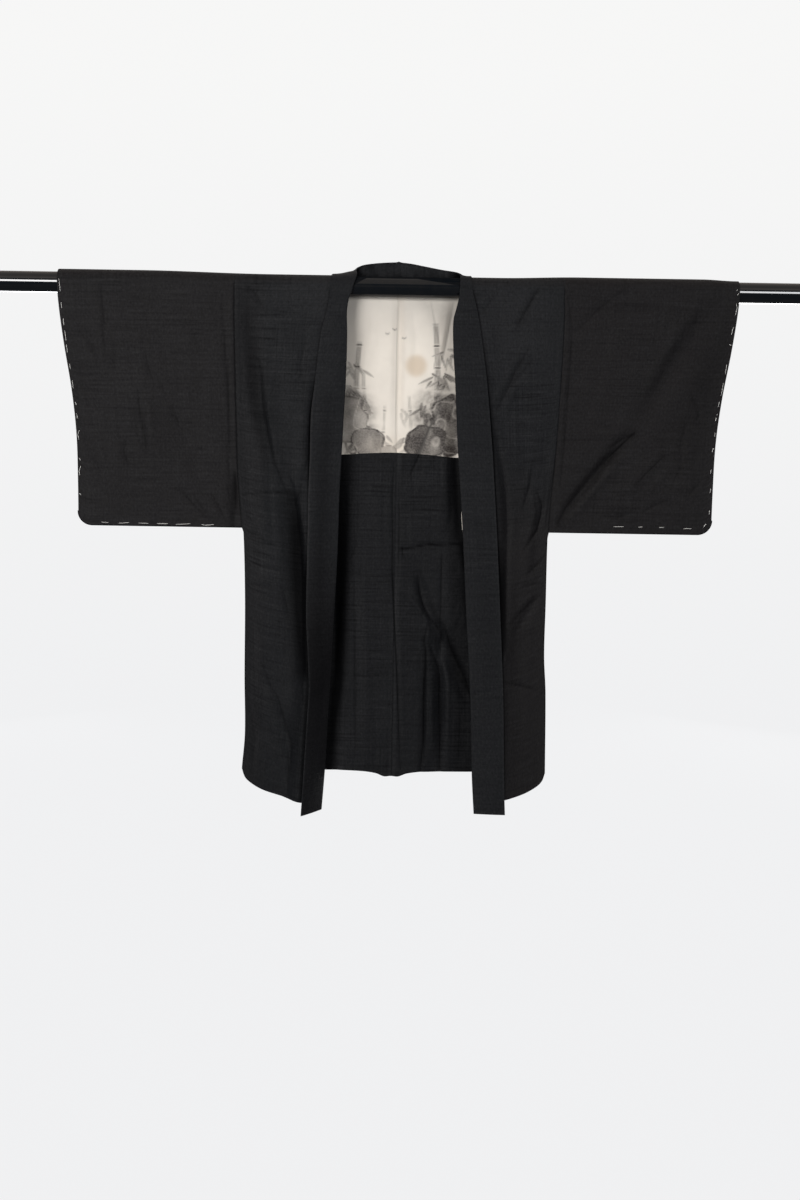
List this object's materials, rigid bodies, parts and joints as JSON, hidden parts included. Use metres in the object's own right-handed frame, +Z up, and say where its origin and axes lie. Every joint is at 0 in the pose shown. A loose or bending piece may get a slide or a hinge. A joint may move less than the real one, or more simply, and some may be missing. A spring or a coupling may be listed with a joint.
{
  "type": "haori jacket on a hanging rod",
  "caption": "Short open-fronted Japanese jacket with wide square sleeves and a long folded collar band, hung flat over a round rail through its sleeves.",
  "frame": {"origin": "middle of the axis of the round rod that the jacket hangs on", "axes": "+X along the rod, to the right of someone facing the open front; the front faces -Y; +Z up"},
  "size_m": [1.6, 0.0873, 1.0531],
  "materials": {
    "black_silk": "matt slubby pongee silk, near black",
    "cream_silk": "smooth cream silk lining with a grey ink-wash design",
    "black_gloss": "gloss black paint"
  },
  "bodies": {
    "root": {"body_left": "black_silk", "body_right": "black_silk", "sleeve_left": "black_silk", "sleeve_right": "black_silk", "gusset_left": "black_silk", "gusset_right": "black_silk", "collar_left": "black_silk", "collar_right": "black_silk", "turn_up_left": "black_silk", "turn_up_right": "black_silk", "lining_left": "cream_silk", "lining_right": "cream_silk", "lining_front": "cream_silk", "rod": "black_gloss"}
  },
  "joints": []
}
